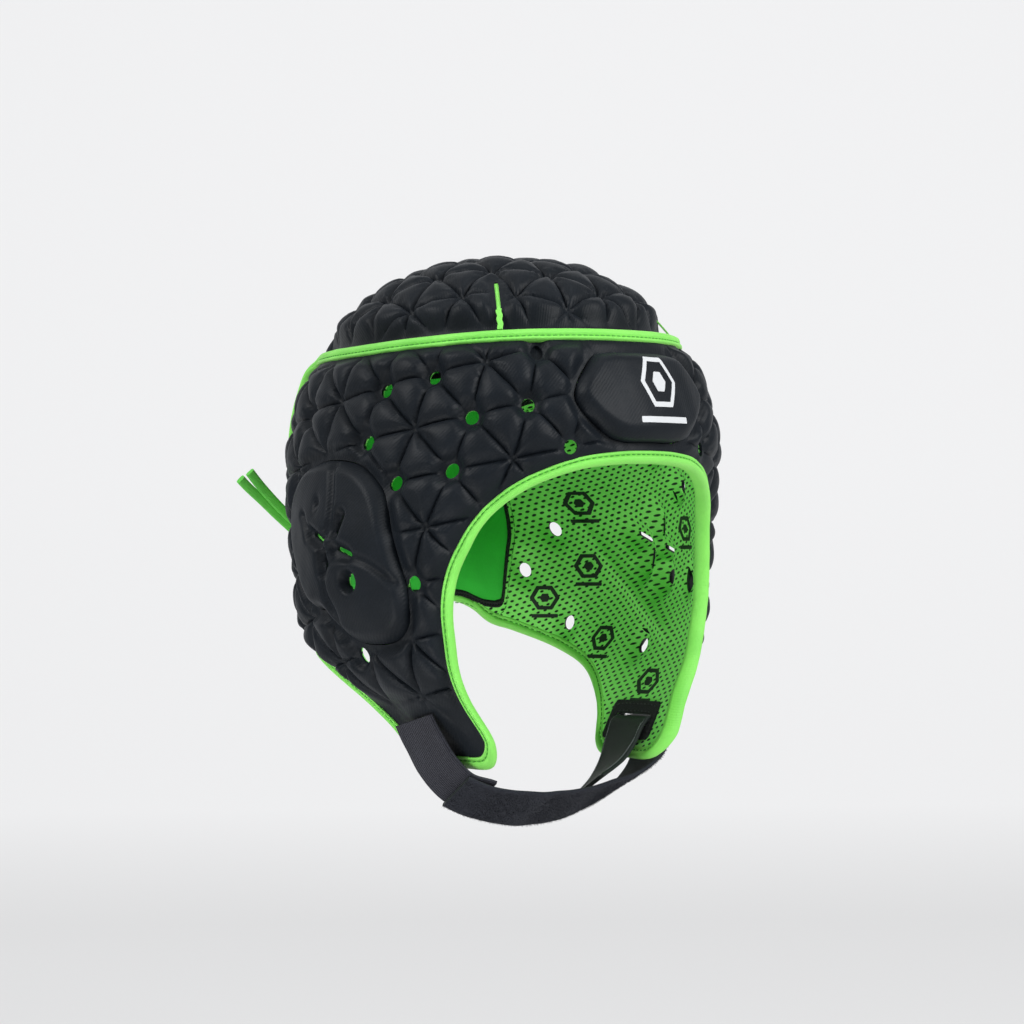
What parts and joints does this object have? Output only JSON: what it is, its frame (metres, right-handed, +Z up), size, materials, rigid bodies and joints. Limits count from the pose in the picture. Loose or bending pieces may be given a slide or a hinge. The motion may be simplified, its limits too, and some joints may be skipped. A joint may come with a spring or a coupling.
{
  "type": "padded head guard",
  "caption": "Worn padded fabric head guard with a quilted side band and crown, open face, pierced ear pads, laced back and a chin strap threaded through a slot.",
  "frame": {"origin": "where the top of the wearer's head meets the crown lining", "axes": "+Z up along the wearer's head, the face looks along -Y, the wearer's right is -X"},
  "size_m": [0.2032, 0.2091, 0.2534],
  "materials": {
    "pad": "satin",
    "mesh": "matte",
    "tape": "matte",
    "lace": "matte",
    "strap": "matte"
  },
  "bodies": {
    "root": {"band_pad": "pad", "crown_pad": "pad", "forehead_pad": "pad", "ear_pad_right": "pad", "ear_pad_left": "pad", "band_lining": "mesh", "crown_lining": "mesh", "top_binding": "tape", "face_binding": "tape", "nape_binding": "tape", "chin_elastic": "strap", "chin_strap": "strap", "lace_loop_right_1": "tape", "lace_loop_right_2": "tape", "lace_loop_right_3": "tape", "lace_loop_left_1": "tape", "lace_loop_left_2": "tape", "lace_loop_left_3": "tape", "back_lace": "lace", "lace_knot": "lace", "lace_tail_upper": "lace", "lace_tail_lower": "lace"}
  },
  "joints": []
}
